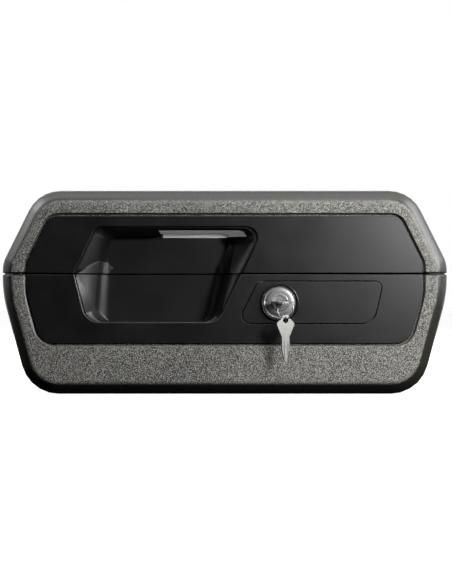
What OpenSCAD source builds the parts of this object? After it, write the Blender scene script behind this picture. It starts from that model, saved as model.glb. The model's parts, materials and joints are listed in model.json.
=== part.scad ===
// Insulated key-locking chest with a moulded shell, a hand recess and a carry grip.
// Millimetres. +X is the right side, the front faces -Y, +Z is up.
// The origin is the centre of the footprint, on the bottom face.

/* [Body] */
// Width of the chest over its sides
box_w = 363; // [350:1:390]
// Depth of the chest, front face to rear face
box_d = 284; // [276:1:310]
// Height of the closed chest
box_h = 166; // [162:1:180]
// Height of the seam between base and lid
seam_z = 98; // [97:0.5:101]
// Open height of the seam
seam_gap = 1.1; // [0.8:0.1:1.6]
// Thickness of the moulded outer shell
wall = 3; // [2.4:0.1:3.6]
// Size of the chamfer round the front and rear faces
chamfer = 8.5; // [6:0.5:11]
// How far the bottom corner stands in from the side
base_in = 22; // [16:1:26]
// How far the top corner stands in from the side
lid_in = 29.5; // [24:0.5:34]

/* [Compartment] */
// From the chest's side to the compartment, at the rim
side_margin = 29.5; // [27:0.5:44]
// From the front face to the compartment
front_margin = 56; // [54:1:60]
// From the rear face to the compartment
rear_margin = 38; // [30:1:50]
// Height of the compartment floor
floor_z = 36; // [28:1:46]
// From the compartment's ceiling to the lid's top
ceiling_margin = 36; // [32:1:46]
// Thickness of the inner liner
liner_wall = 2.5; // [2:0.1:3]
// Thickness of the liner's rim flange
flange = 3.2; // [3:0.1:4]
// Width of the rim seal
seal_w = 4.6; // [4:0.2:6]

/* [Front panel] */
// Margin of textured shell at the panel's sides
panel_side = 20.8; // [18:0.2:24]
// Height of the panel's top edge below the lid's top
panel_top = 21; // [18:0.5:24]
// Height of the panel's bottom edge
panel_bottom_z = 41.4; // [36:0.2:46]
// Thickness of the panel
panel_t = 2.8; // [2.4:0.1:3.2]
// How far the panel lies behind the front face
panel_sink = 0.8; // [0.4:0.1:1.2]
// Width of the groove round the panel
panel_gap = 1.2; // [0.8:0.1:1.6]
// Depth of the hand recess
recess_depth = 28; // [24:0.5:30]
// Wall of the hand recess
recess_wall = 2; // [1.6:0.1:2.4]
// Depth of the carry grip, front to back
grip_d = 21; // [19:0.5:22]
// Width of the finger slot behind the grip
slot_w = 80; // [70:1:84]

/* [Lock] */
// Lock axis right of the centre
lock_x = 44.6; // [42:0.2:50]
// Lock axis above the bottom
lock_z = 74.8; // [72:0.2:76]
// Diameter of the lock's face
lock_face_d = 26.5; // [24:0.5:28]
// Diameter of the lock's barrel
barrel_d = 19; // [17:0.5:20]
// Diameter of the turning plug
plug_d = 12; // [11:0.1:12.5]
// Reach of the cam from the lock axis
cam_reach = 18; // [17.5:0.5:18.5]
// Thickness of the keys
key_t = 1.8; // [1.6:0.1:2]
// Wire of the key ring
ring_wire = 1.1; // [0.9:0.1:1.2]
// Outer diameter of the key ring
ring_d = 16; // [15:0.5:18]

/* [Hinges] */
// From the chest's side to the middle of each hinge
hinge_in = 71.5; // [50:0.5:90]
// Width of each hinge
hinge_w = 40; // [34:1:44]
// Diameter of the hinge pins
pin_d = 4; // [3.5:0.1:4.5]
// Thickness of the hinge leaves
leaf_t = 1.6; // [1.2:0.1:2]
// Height of each hinge leaf
leaf_h = 26; // [22:1:28]

/* [Hidden] */
$fn = 48;

// Clearances
snug = 0.3;            // between moulded pieces
running = 0.05;        // radial, shaft in bore
play = 0.15;           // key in keyway
touch = 0.01;          // overlap where forms are joined
big = 600;             // larger than the chest

// Planes
front_y = -box_d / 2;
rear_y = box_d / 2;
base_top = seam_z - seam_gap / 2;
lid_low = seam_z + seam_gap / 2;
panel_y = front_y + panel_sink;
panel_back = panel_y + panel_t;
pan_back = panel_back + wall;
recess_back = panel_y + recess_depth;

// Silhouette: heights at which the sides start to lean in, and corner radii
side_low_z = seam_z - 16.8;
side_high_z = seam_z + 8.8;
base_r = 31;
side_low_r = 100;
side_high_r = 25;
lid_r = 29;
edge_soft = 3;         // rounding between a face and the chamfer
edge_steps = 2;        // faces across a rounding
rim_round = 1.6;       // rounding of the shell round the panel
seam_round = 1.5;      // rounding of the shell along the seam
panel_round = 0.6;     // rounding of the panel's and the plate's edges
panel_low_r = 15;      // corners of the panel
panel_side_low_r = 60;
panel_side_high_r = 14;
panel_high_r = 10.5;
mouth_round = 1;       // rounding of the hand recess's mouth

// Compartment
inner_half = box_w / 2 - side_margin;
inner_y0 = front_y + front_margin;
inner_y1 = rear_y - rear_margin;
inner_r = 14;
ceiling_z = box_h - ceiling_margin;
base_draft = 5;        // how much each wall leans in down to the floor
lid_draft = 9;         // how much each wall leans in up to the ceiling
floor_round = 5;       // radius where the walls bend into the floor and the ceiling
seal_off = 5;          // seal outside the compartment's edge
seal_sink = 1.9;       // depth of the seal's groove

// Hand recess. Outlines are [x, height over the seam, corner radius].
recess_x = -45;        // middle of the recess
recess_front = [[-77.2, 0.4, 5], [-67.6, -39.2, 13.5], [39.6, -39.2, 13], [76.7, 38, 8.8],
    [-59.5, 38, 7.5]];
recess_rear = [[-58, 11, 6], [-63.5, -38.8, 12], [35.5, -38.8, 12], [56, 31.2, 7],
    [-49, 31.2, 7]];
recess_bend = [14, 12];  // where the walls bend into the rear wall: depth and width
recess_pad = [[-54.5, 5, 8], [39.6, 5, 9], [51.8, 31.2, 5], [-47.6, 31.2, 7]];

// Finger slot and its window in the recess's ceiling
slot_x = -18;          // middle of the slot
slot_r = 7;
slot_rear_y = front_y + grip_d + 8;
slot_floor_z = seam_z + 30.2;
slot_lean = 9;         // how far the slot's rear wall leans back at the top
window = [[-51.2, 30.4, 0.6], [18.2, 30.4, 0.6], [13.7, 36.6, 2.2], [-54.8, 36.6, 0.6]];
window_front = panel_y + 5.5;

// Lock plate, [x, height under the seam, corner radius]
plate_outline = [[9.9, -40.4, 7], [120.7, -40.4, 12], [128.5, -6.2, 5], [27.2, -6.2, 8]];
plate_gap = 0.55;

// Lock
bezel_r = lock_face_d / 2 + 2.25;
bezel_floor = 1.3;
face_t = 2.5;
face_back = panel_back - bezel_floor;
face_front = face_back - face_t;
barrel_l = 22.5;
barrel_end = face_back + barrel_l;
washer_t = 1;
nut_t = 4;
nut_af = barrel_d + 5;
plug_front = face_front - 0.8;
cam_t = 2;
cam_y = barrel_end + snug;
cam_w = 8;
cam_tip_w = 6.4;
stud = 5;              // square end of the plug
plug_rim = 1.2;        // thickness of the plug's rim
keyway_h = key_t + 2 * play;
wafers = 5;
wafer_pitch = 3;
wafer_t = 1;
wafer_w = 9.6;
wafer_h = 4.6;
chamber_x0 = lock_x - 24;
chamber_x1 = lock_x + 16;
chamber_z0 = lock_z - 19;
chamber_back = cam_y + cam_t + 12;

// Strike: a staple that hangs from the lid beside the lock
strike_t = 2.5;
strike_x = lock_x - 15.5;
strike_y = cam_y + cam_t / 2;
strike_in = 8;         // open width between the staple's legs
strike_leg = 3;
strike_low_z = lock_z - 9;
strike_bar = 4;
strike_foot_d = 34;
strike_foot_w = 11;
strike_foot_t = 2;
strike_screw_gap = 25;
strike_pad_h = 7;      // height of the lid's pad over the rim flange
strike_pad_w = 3;      // how far the pad stands out beside the foot
strike_pad_d = 2;      // and before and behind it
slot_play = 3.4;       // room for the strike in the rim

// Keys. The bow's hole is the origin, the blade points down.
key_hole_d = 4.4;
blade_half = 3.3;
key_out = 3;           // shoulders in front of the lock
shoulder = 12;
blade_tip = 32.8;
key_y = plug_front - key_out - shoulder;
key_half = [[0.9, -blade_tip, 0.5], [2.7, -25.4, 1], [blade_half, -23.6, 1],
    [blade_half, -shoulder - 0.5, 0.2], [3.9, -shoulder, 0.3], [8, -2.6, 2.4], [3.2, 2, 1.5],
    [2.6, 4.3, 1.3]];
blade_groove = 0.8;
blade_groove_at = 1.6;

// Ring
ring_r = (ring_d - ring_wire) / 2;
ring_turn = -33;       // the ring's plane about Z
ring_out = 4.5;        // ring centre beside the bow's hole, along its plane
ring_play = 0.1;       // clearance of the ring over the bow
ring_drop = sqrt(pow(ring_r - ring_wire / 2 - ring_play, 2) - pow(ring_out - key_hole_d / 2, 2))
    - key_t / 2;
ring_at = [lock_x + ring_out * cos(ring_turn), key_y + ring_out * sin(ring_turn), lock_z - ring_drop];
spare_turn = 20;       // the hanging key's face about Z
spare_play = 0.3;      // clearance of the ring in the hanging key's hole
spare_hole = [ring_at[0], ring_at[1], ring_at[2] - ring_r - (key_hole_d - ring_wire) / 2 + spare_play];

// Hinges
hinge_x = box_w / 2 - hinge_in;
knuckle_r = 4.5;
hinge_y = rear_y + knuckle_r + 0.5;
leaf_gap = 0.3;
knuckles = 5;
knuckle_w = hinge_w / knuckles;
screw_r = 1.6;
screw_l = 6;
screw_head_r = 3;
screw_head_t = 1;
screw_in = 7;          // screws in from the hinge's ends
screw_heights = [8, 19];  // screws from the seam's edge
hinge_boss_t = 6.5;

// Fill plugs in the bottom
plug_x = 95;
fill_r = 15;
fill_lip = 0.4;

// ---------- outlines ----------

function unit(v) = v / norm(v);
function flat(p, lift) = [p[0], p[1] + lift];

// Points of an arc of radius r that rounds the corner b between a and c
function corner(a, b, c, r, n) =
    let (u = unit(a - b), w = unit(c - b), half = acos(u * w) / 2,
        m = b + unit(u + w) * r / sin(half),
        s = b + u * r / tan(half) - m, e = b + w * r / tan(half) - m,
        from = atan2(s[1], s[0]),
        turn = (atan2(e[1], e[0]) - from + 540) % 360 - 180)
    [for (i = [0:n]) m + r * [cos(from + turn * i / n), sin(from + turn * i / n)]];

// A closed outline of [x, y, radius] corners, lifted by lift
function rounded(p, lift = 0, n = 5) = [for (i = [0:len(p) - 1])
    each corner(flat(p[(i + len(p) - 1) % len(p)], lift), flat(p[i], lift),
        flat(p[(i + 1) % len(p)], lift), p[i][2], n)];

// The corners of a convex outline moved in by d, or out where d is negative
function inset(p, d) = [for (i = [0:len(p) - 1])
    let (b = flat(p[i], 0), u = unit(flat(p[(i + len(p) - 1) % len(p)], 0) - b),
        w = unit(flat(p[(i + 1) % len(p)], 0) - b), half = acos(u * w) / 2)
    concat(b + unit(u + w) * d / sin(half), max(p[i][2] - d, 0.3))];

// The right half of a symmetric outline, with its mirror image
function both_sides(right) = concat(right,
    [for (i = [len(right) - 1:-1:0]) [-right[i][0], right[i][1], right[i][2]]]);

// A curve from a to c that b pulls on
function bend(a, b, c, n) = [for (i = [0:n]) let (t = i / n)
    (1 - t) * (1 - t) * a + 2 * t * (1 - t) * b + t * t * c];

// Half width of the silhouette at height z
function half_at(z) = box_w / 2
    - (z > side_high_z ? (z - side_high_z) * lid_in / (box_h - side_high_z) : 0)
    - (z < side_low_z ? (side_low_z - z) * base_in / side_low_z : 0);

body_corners = both_sides([[half_at(0), 0, base_r], [box_w / 2, side_low_z, side_low_r],
    [box_w / 2, side_high_z, side_high_r], [half_at(box_h), box_h, lid_r]]);

panel_top_z = box_h - panel_top;
panel_corners = both_sides([[half_at(panel_bottom_z) - panel_side, panel_bottom_z, panel_low_r],
    [box_w / 2 - panel_side, side_low_z, panel_side_low_r],
    [box_w / 2 - panel_side, side_high_z, panel_side_high_r],
    [half_at(panel_top_z) - panel_side, panel_top_z, panel_high_r]]);

// The compartment's outline in plan, in X and Y, grown by g
function compartment(g) = inset(
    both_sides([[inner_half, inner_y0, inner_r], [inner_half, inner_y1, inner_r]]), -g);

// ---------- extrusions and cuts ----------

// An outline in X and Z, extruded from y0 to y1
module along_y(y0, y1) {
    translate([0, y1, 0]) rotate([90, 0, 0]) linear_extrude(y1 - y0) children();
}

// An outline in Y and Z, extruded from x0 to x1
module along_x(x0, x1) {
    translate([x0, 0, 0]) rotate([90, 0, 90]) linear_extrude(x1 - x0) children();
}

module between(x0, x1, y0, y1, z0, z1) {
    translate([x0, y0, z0]) cube([x1 - x0, y1 - y0, z1 - z0]);
}

module below(z) {
    intersection() {
        children();
        between(-big, big, -big, big, -big, z);
    }
}

module above(z) {
    intersection() {
        children();
        between(-big, big, -big, big, z, big);
    }
}

// A round bar along Y at the lock's axis
module lock_bar(d, y0, y1) {
    translate([lock_x, y1, lock_z]) rotate([90, 0, 0]) cylinder(d = d, h = y1 - y0);
}

module mirrored_x() {
    children();
    mirror([1, 0, 0]) children();
}

// ---------- forms that several pieces share ----------

// A solid through rings of [y, outline], ordered from front to rear, or of [z, outline], upwards
module loft(rings, up = false) {
    n = len(rings[0][1]);
    last = len(rings) - 1;
    faces = concat(
        [[for (i = [n - 1:-1:0]) i]],
        [for (k = [0:last - 1]) for (i = [0:n - 1])
            [k * n + i, k * n + (i + 1) % n, (k + 1) * n + (i + 1) % n, (k + 1) * n + i]],
        [[for (i = [0:n - 1]) last * n + i]]);
    polyhedron(
        points = [for (ring = rings) for (p = ring[1]) up ? [p[0], p[1], ring[0]] : [p[0], ring[0], p[1]]],
        faces = up ? [for (face = faces) [for (i = [len(face) - 1:-1:0]) face[i]]] : faces);
}

// Rings of the silhouette from [distance from the end face, inset] pairs, at both ends
function ends(profile) = concat(
    [for (p = profile) [front_y + p[0], rounded(inset(body_corners, p[1]))]],
    [for (i = [len(profile) - 1:-1:0])
        [rear_y - profile[i][0], rounded(inset(body_corners, profile[i][1]))]]);

// [depth, offset] pairs of a rounded edge, from the face inwards
function rounding(r) = bend([0, r], [0, 0], [r, 0], edge_steps);

// A plate from y0 back to y1 with a rounded front edge
module tile(corners, y0, y1, r, lift = 0) {
    loft(concat([for (p = rounding(r)) [y0 + p[0], rounded(inset(corners, p[1]), lift)]],
        [[y1, rounded(corners, lift)]]));
}

// The cut for an opening in the face y0, from in front of it back to y1, with a rounded mouth
module socket(corners, y0, y1, r, lift = 0) {
    loft(concat([[front_y - 2, rounded(inset(corners, -r), lift)]],
        [for (p = rounding(r)) [y0 + p[0], rounded(inset(corners, -p[1]), lift)]],
        [[y1, rounded(corners, lift)]]));
}

// The closed chest's outer form
module outer_form() {
    k = edge_soft * sqrt(0.5);
    loft(ends(concat(
        bend([0, chamfer + edge_soft], [0, chamfer], [k, chamfer - k], edge_steps),
        bend([chamfer - k, k], [chamfer, 0], [chamfer + edge_soft, 0], edge_steps))));
}

// The space inside walls of thickness g
module inner_form(g) {
    lean = g * (sqrt(2) - 1);
    loft(ends([[g, chamfer + lean], [chamfer + lean, g]]));
}

// One half's outer form, rounded along the seam: side -1 is the base, side 1 the lid
module half_form(side) {
    face = seam_z + side * seam_gap / 2;
    over = 0.15;
    edge_r = edge_soft / tan(22.5);
    plan = both_sides([[box_w / 2 - chamfer, front_y, edge_r], [box_w / 2, front_y + chamfer, edge_r],
        [box_w / 2, rear_y - chamfer, edge_r], [box_w / 2 - chamfer, rear_y, edge_r]]);
    rings = concat([[box_h, -2], [2 * seam_round, -1]],
        [for (p = rounding(seam_round)) [p[1], p[0] - over]]);
    last = len(rings) - 1;
    intersection() {
        outer_form();
        loft([for (i = [0:last]) let (ring = rings[side < 0 ? i : last - i])
            [face + side * ring[0], rounded(inset(plan, ring[1]))]], up = true);
    }
}

// The recess's rear outline moved in by d, but not at its floor
function recess_ring(d) = [for (p = inset(recess_rear, d)) [p[0], p[1] - (p[1] < 0 ? d : 0), p[2]]];

// The hand recess, grown by g on every wall
module recess_form(g) {
    depth = recess_bend[0];
    translate([recess_x, 0, 0]) {
        loft(concat(
            [for (y = [front_y - 2, panel_y]) [y, rounded(inset(recess_front, -g), seam_z)]],
            [for (p = bend([depth, 0], [0, 0], [0, recess_bend[1]], edge_steps + 2))
                [recess_back + g - p[0], rounded(inset(recess_ring(p[1]), -g), seam_z)]]));
        along_y(recess_back - depth, recess_back + g)
            polygon(rounded(inset(recess_pad, -g), seam_z));
    }
}

// The window through the recess's ceiling, grown by g
module window_form(g) {
    along_y(window_front - g, slot_rear_y) polygon(rounded(inset(window, -g), seam_z));
}

// The finger slot behind the grip, grown by g
module slot_form(g) {
    rear_top = slot_rear_y + slot_lean;
    top = box_h + g + 2;
    grip_y = front_y + grip_d;
    intersection() {
        along_x(slot_x - slot_w / 2 - g, slot_x + slot_w / 2 + g) polygon(
            [[grip_y - g, slot_floor_z - g], [slot_rear_y + g, slot_floor_z - g],
                [rear_top + g, top], [grip_y - g, top]]);
        translate([slot_x, 0, slot_floor_z - 2 * g - 1]) linear_extrude(box_h) polygon(rounded(inset(
            both_sides([[slot_w / 2, grip_y, slot_r], [slot_w / 2, rear_top, slot_r]]), -g)));
    }
}

// The seat of the front panel, grown by g
module seat_form(g) {
    along_y(front_y - 2, panel_back + g) polygon(rounded(inset(panel_corners, -panel_gap - g)));
}

module seat_cut() {
    socket(inset(panel_corners, -panel_gap), front_y, panel_back, rim_round);
}

// The black panel with its hand recess, before it is parted at the seam
module panel_form() {
    difference() {
        union() {
            tile(panel_corners, panel_y, panel_back, panel_round);
            intersection() {
                recess_form(recess_wall);
                between(-big, big, panel_y + panel_t / 2, big, -big, big);
            }
        }
        recess_form(0);
        translate([recess_x, 0, 0])
            socket(recess_front, panel_y, panel_y + 2 * mouth_round, mouth_round, seam_z);
        for (side = [-1, 1]) along_x(-box_w, box_w) polygon(concat(
            [[panel_y - 1, seam_z], [panel_y - 1, seam_z + side * (seam_gap / 2 + panel_round)]],
            [for (p = rounding(panel_round)) [panel_y + p[0], seam_z + side * (seam_gap / 2 + p[1])]],
            [[panel_y + panel_round, seam_z]]));
    }
}

// The lock's chamber in the base, grown by g
module chamber_form(g) {
    between(chamber_x0 - g, chamber_x1 + g, pan_back - touch, chamber_back + g, chamber_z0 - g,
        base_top - flange - snug);
}

// The pads that the hinge screws bite into, in the base (side -1) or the lid (side 1)
module hinge_pads(side, g) {
    z0 = side < 0 ? base_top - leaf_h - g : lid_low + flange + snug;
    z1 = side < 0 ? base_top - flange - snug : lid_low + leaf_h + g;
    mirrored_x() between(hinge_x - hinge_w / 2 - g, hinge_x + hinge_w / 2 + g,
        rear_y - wall - hinge_boss_t - g, rear_y - 1, z0, z1);
}

// The compartment with walls grown by g, below the seam (side -1) or above it (side 1)
module tub(side, g) {
    draft = side < 0 ? base_draft : lid_draft;
    far = side < 0 ? floor_z - g : ceiling_z + g;
    near = seam_z + side * (seam_gap / 2 - 1);
    rings = concat([for (p = rounding(floor_round)) [far - side * p[0], g - draft - p[1]]], [[near, g]]);
    last = len(rings) - 1;
    loft([for (i = [0:last]) let (ring = rings[side < 0 ? i : last - i])
        [ring[0], rounded(compartment(ring[1]))]], up = true);
}

module seal_ring(w, z0, z1) {
    middle = seal_off + seal_w / 2;
    translate([0, 0, z0]) linear_extrude(z1 - z0) difference() {
        polygon(rounded(compartment(middle + w / 2)));
        polygon(rounded(compartment(middle - w / 2)));
    }
}

// The strike's passage through the base rim
module strike_passage() {
    w = strike_in + 2 * strike_leg;
    between(strike_x - strike_t / 2 - slot_play, strike_x + strike_t / 2 + slot_play,
        strike_y - w / 2 - slot_play, strike_y + w / 2 + 1.5, base_top - flange - 2, base_top + 1);
}

module hinge_screw_places(side) {
    for (x = [-1, 1], h = screw_heights)
        translate([x * (hinge_w / 2 - screw_in), 0, side * (seam_gap / 2 + h)]) children();
}

// Round bars where the hinge screws go, both hinges
module screw_bars(side, r, y0, y1) {
    mirrored_x() translate([hinge_x, y1, seam_z]) hinge_screw_places(side)
        rotate([90, 0, 0]) cylinder(r = r, h = y1 - y0);
}

// ---------- base ----------

module base_shell() {
    color([0.36, 0.36, 0.35]) difference() {
        intersection() {
            half_form(-1);
            union() {
                difference() {
                    between(-box_w, box_w, -box_d, box_d, -1, box_h);
                    inner_form(wall);
                }
                seat_form(wall);
                recess_form(recess_wall + snug + wall);
                chamber_form(wall);
                hinge_pads(-1, 0);
            }
        }
        seat_cut();
        recess_form(recess_wall + snug);
        chamber_form(0);
        lock_bar(barrel_d + 2 * play, panel_back - 1, pan_back + 1);
        screw_bars(-1, screw_r + running, rear_y - screw_l - 1, rear_y + 1);
        mirrored_x() translate([plug_x, 0, -1]) cylinder(r = fill_r + play, h = wall + 3);
    }
}

module base_liner() {
    color([0.16, 0.16, 0.17]) difference() {
        union() {
            below(base_top) tub(-1, liner_wall);
            difference() {
                intersection() {
                    inner_form(wall + snug);
                    between(-big, big, -big, big, base_top - flange, base_top);
                }
                recess_form(recess_wall + 2 * snug + wall);
                seat_form(wall + snug);
            }
        }
        tub(-1, 0);
        strike_passage();
        seal_ring(seal_w, base_top - seal_sink, base_top + 1);
    }
}

module base_insulation() {
    color([0.80, 0.78, 0.72]) difference() {
        intersection() {
            inner_form(wall + snug);
            between(-big, big, -big, big, 0, base_top - flange - snug);
        }
        seat_form(wall + snug);
        recess_form(recess_wall + 2 * snug + wall);
        chamber_form(wall + snug);
        hinge_pads(-1, snug);
        tub(-1, liner_wall + snug);
    }
}

module base_fascia() {
    color([0.07, 0.07, 0.07]) below(base_top) difference() {
        panel_form();
        socket(inset(plate_outline, -plate_gap), panel_y, panel_back + 1, panel_round / 2, seam_z);
    }
}

module fill_plugs() {
    color([0.10, 0.10, 0.10]) mirrored_x() translate([plug_x, 0, fill_lip])
        cylinder(r = fill_r, h = wall - fill_lip);
}

module rim_seal() {
    color([0.05, 0.05, 0.05])
        seal_ring(seal_w - 2 * play, base_top - seal_sink, lid_low - 0.1);
}

module lock_plate() {
    color([0.09, 0.09, 0.09]) difference() {
        tile(plate_outline, panel_y, panel_back, panel_round, seam_z);
        lock_bar(2 * (bezel_r + play), panel_y - 1, panel_back + 1);
    }
}

// A ring turned about the lock's axis from [radius, y] points
module lock_turned(profile) {
    translate([lock_x, 0, lock_z]) rotate([-90, 0, 0]) rotate_extrude() polygon(profile);
}

module lock_bezel() {
    hole = barrel_d / 2 + play;
    seat = lock_face_d / 2 + play;
    lip = face_front - 0.9;
    color([0.04, 0.04, 0.04]) lock_turned([[hole, panel_back], [hole, face_back], [seat, face_back],
        [seat, face_front], [seat + 0.9, lip], [bezel_r - 0.4, lip], [bezel_r, lip + 0.4],
        [bezel_r, panel_back]]);
}

module lock_housing() {
    rim = lock_face_d / 2;
    step = plug_d / 2 + 2.4;
    well = plug_d / 2 + 1.3;
    bore = plug_d / 2 + running;
    color([0.78, 0.78, 0.78]) difference() {
        lock_turned([[bore, barrel_end], [bore, face_front + plug_rim], [well, face_front + plug_rim],
            [well, face_front - 0.5], [step, face_front - 0.5], [rim - 2.2, face_front],
            [rim - 0.7, face_front + 0.5], [rim, face_front + 1.3], [rim, face_back],
            [barrel_d / 2, face_back], [barrel_d / 2, barrel_end]]);
        for (s = [-1, 1]) between(lock_x + s * (rim - 3.4) - 1.6, lock_x + s * (rim - 3.4) + 1.6,
            face_front - 1, face_front + 0.4, lock_z - 0.45, lock_z + 0.45);
    }
}

module lock_washer() {
    color([0.62, 0.62, 0.60]) difference() {
        lock_bar(nut_af + 3, pan_back, pan_back + washer_t);
        lock_bar(barrel_d + 2 * play, pan_back - 1, pan_back + washer_t + 1);
    }
}

module lock_nut() {
    y0 = pan_back + washer_t;
    color([0.70, 0.68, 0.60]) difference() {
        translate([lock_x, y0 + nut_t, lock_z]) rotate([90, 0, 0])
            cylinder(d = nut_af / cos(30), h = nut_t, $fn = 6);
        lock_bar(barrel_d + 2 * running, y0 - 1, y0 + nut_t + 1);
    }
}

// ---------- hinges ----------

// One hinge leaf about its own pin: side -1 hangs down, side 1 stands up, odd or even knuckles
module hinge_leaf(side) {
    reach = leaf_h + seam_gap / 2;
    color([0.45, 0.45, 0.46]) translate([0, 0, seam_z]) difference() {
        union() {
            mirror([0, 0, side < 0 ? 1 : 0])
                between(-hinge_w / 2, hinge_w / 2, rear_y, rear_y + leaf_t, knuckle_r + leaf_gap, reach);
            for (i = [0:knuckles - 1]) if ((i % 2 == 0) == (side < 0)) {
                x0 = -hinge_w / 2 + i * knuckle_w + leaf_gap / 2;
                translate([x0, hinge_y, 0]) rotate([0, 90, 0])
                    cylinder(r = knuckle_r, h = knuckle_w - leaf_gap);
                mirror([0, 0, side < 0 ? 1 : 0]) between(x0, x0 + knuckle_w - leaf_gap,
                    rear_y + 0.2, rear_y + leaf_t, 0, knuckle_r + leaf_gap);
            }
        }
        translate([-hinge_w, hinge_y, 0]) rotate([0, 90, 0])
            cylinder(d = pin_d + 2 * running, h = 2 * hinge_w);
        translate([0, rear_y - 1, 0]) hinge_screw_places(side)
            rotate([-90, 0, 0]) cylinder(r = screw_r + running, h = leaf_t + 2);
    }
}

module hinge_pin() {
    color([0.70, 0.70, 0.70]) translate([-hinge_w / 2 - 1, hinge_y, seam_z]) rotate([0, 90, 0]) {
        cylinder(d = pin_d, h = hinge_w + 2);
        translate([0, 0, -0.8]) cylinder(d = pin_d + 2, h = 0.8 + leaf_gap);
        translate([0, 0, hinge_w + 2 - leaf_gap]) cylinder(d = pin_d + 2, h = 0.8 + leaf_gap);
    }
}

module hinge_screws(side) {
    color([0.75, 0.75, 0.75]) {
        screw_bars(side, screw_r, rear_y - screw_l, rear_y + leaf_t + 0.2);
        screw_bars(side, screw_head_r, rear_y + leaf_t, rear_y + leaf_t + screw_head_t);
    }
}

module hinge_leaf_base_left() translate([-hinge_x, 0, 0]) hinge_leaf(-1);
module hinge_leaf_base_right() translate([hinge_x, 0, 0]) hinge_leaf(-1);
module hinge_leaf_lid_left() translate([-hinge_x, 0, 0]) hinge_leaf(1);
module hinge_leaf_lid_right() translate([hinge_x, 0, 0]) hinge_leaf(1);
module hinge_pin_left() translate([-hinge_x, 0, 0]) hinge_pin();
module hinge_pin_right() translate([hinge_x, 0, 0]) hinge_pin();
module hinge_screws_base() hinge_screws(-1);
module hinge_screws_lid() hinge_screws(1);

// ---------- lid ----------

// The pad in the lid's rim that carries the strike
module strike_pad(g) {
    x = strike_foot_w / 2 + strike_pad_w + g;
    y = strike_foot_d / 2 + strike_pad_d + g;
    between(strike_x - x, strike_x + x, strike_y - y, strike_y + y, lid_low,
        lid_low + flange + strike_pad_h + g);
}

module lid_shell() {
    color([0.40, 0.40, 0.39]) difference() {
        intersection() {
            half_form(1);
            union() {
                difference() {
                    between(-box_w, box_w, -box_d, box_d, 0, box_h + 1);
                    inner_form(wall);
                }
                seat_form(wall);
                recess_form(recess_wall + snug + wall);
                slot_form(wall);
                hinge_pads(1, 0);
            }
        }
        seat_cut();
        recess_form(recess_wall + snug);
        slot_form(0);
        window_form(snug);
        screw_bars(1, screw_r + running, rear_y - screw_l - 1, rear_y + 1);
    }
}

module lid_liner() {
    color([0.16, 0.16, 0.17]) difference() {
        union() {
            above(lid_low) tub(1, liner_wall);
            strike_pad(0);
            difference() {
                intersection() {
                    inner_form(wall + snug);
                    between(-big, big, -big, big, lid_low, lid_low + flange);
                }
                recess_form(recess_wall + 2 * snug + wall);
                seat_form(wall + snug);
            }
        }
        tub(1, 0);
        between(strike_x - strike_foot_w / 2 - play, strike_x + strike_foot_w / 2 + play,
            strike_y - strike_foot_d / 2 - play, strike_y + strike_foot_d / 2 + play,
            lid_low - 1, lid_low + strike_foot_t);
        strike_screw_bars(screw_r + running, lid_low, lid_low + flange + strike_pad_h - 1);
    }
}

module lid_insulation() {
    color([0.80, 0.78, 0.72]) difference() {
        intersection() {
            inner_form(wall + snug);
            between(-big, big, -big, big, lid_low + flange + snug, box_h);
        }
        seat_form(wall + snug);
        recess_form(recess_wall + 2 * snug + wall);
        slot_form(wall + snug);
        between(slot_x - slot_w / 2 - wall - 1, slot_x + slot_w / 2 + wall + 1, front_y,
            front_y + grip_d, seam_z, box_h);
        hinge_pads(1, snug);
        strike_pad(snug);
        tub(1, liner_wall + snug);
    }
}

module lid_fascia() {
    color([0.07, 0.07, 0.07]) above(lid_low) difference() {
        panel_form();
        window_form(0);
    }
}

module strike_screw_bars(r, z0, z1) {
    for (s = [-1, 1]) translate([strike_x, strike_y + s * strike_screw_gap / 2, z0])
        cylinder(r = r, h = z1 - z0);
}

module strike() {
    w = strike_in + 2 * strike_leg;
    color([0.72, 0.72, 0.70]) difference() {
        union() {
            between(strike_x - strike_t / 2, strike_x + strike_t / 2, strike_y - w / 2, strike_y + w / 2,
                strike_low_z, lid_low + strike_foot_t);
            between(strike_x - strike_foot_w / 2, strike_x + strike_foot_w / 2,
                strike_y - strike_foot_d / 2, strike_y + strike_foot_d / 2, lid_low, lid_low + strike_foot_t);
        }
        between(strike_x - strike_t, strike_x + strike_t, strike_y - strike_in / 2, strike_y + strike_in / 2,
            strike_low_z + strike_bar, lid_low - 2);
        strike_screw_bars(screw_r + running, lid_low - 1, lid_low + strike_foot_t + 1);
    }
}

module strike_screws() {
    color([0.75, 0.75, 0.75]) {
        strike_screw_bars(screw_r, lid_low - 0.2, lid_low + flange + strike_pad_h - 2);
        strike_screw_bars(screw_head_r, lid_low - 0.9, lid_low);
    }
}

// ---------- lock core ----------

module keyway(w, h, y0, y1) {
    between(lock_x - w / 2, lock_x + w / 2, y0, y1, lock_z - h / 2, lock_z + h / 2);
}

function wafer_y(i) = face_back + 1 + i * wafer_pitch;

module lock_plug() {
    color([0.75, 0.75, 0.74]) difference() {
        union() {
            lock_turned([[plug_d / 2 - 1.2, plug_front + 0.3], [plug_d / 2 - 0.6, plug_front],
                [plug_d / 2 + 0.7, plug_front], [plug_d / 2 + 1.1, plug_front + 0.4],
                [plug_d / 2 + 1.1, face_front + plug_rim - 0.1],
                [plug_d / 2 - 1.2, face_front + plug_rim - 0.1]]);
            lock_bar(plug_d, plug_front + 0.4, barrel_end + 0.1);
            keyway(stud, stud, barrel_end, cam_y + cam_t);
        }
        keyway(2 * (blade_half + play), keyway_h, plug_front - 1, key_y + blade_tip + 1.5);
        for (i = [0:wafers - 1]) keyway(wafer_w + 2 * play, wafer_h + 2 * play, wafer_y(i) - play,
            wafer_y(i) + wafer_t + play);
        lock_bar(3 + 2 * running, cam_y - 4, cam_y + cam_t + 1);
    }
}

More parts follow.
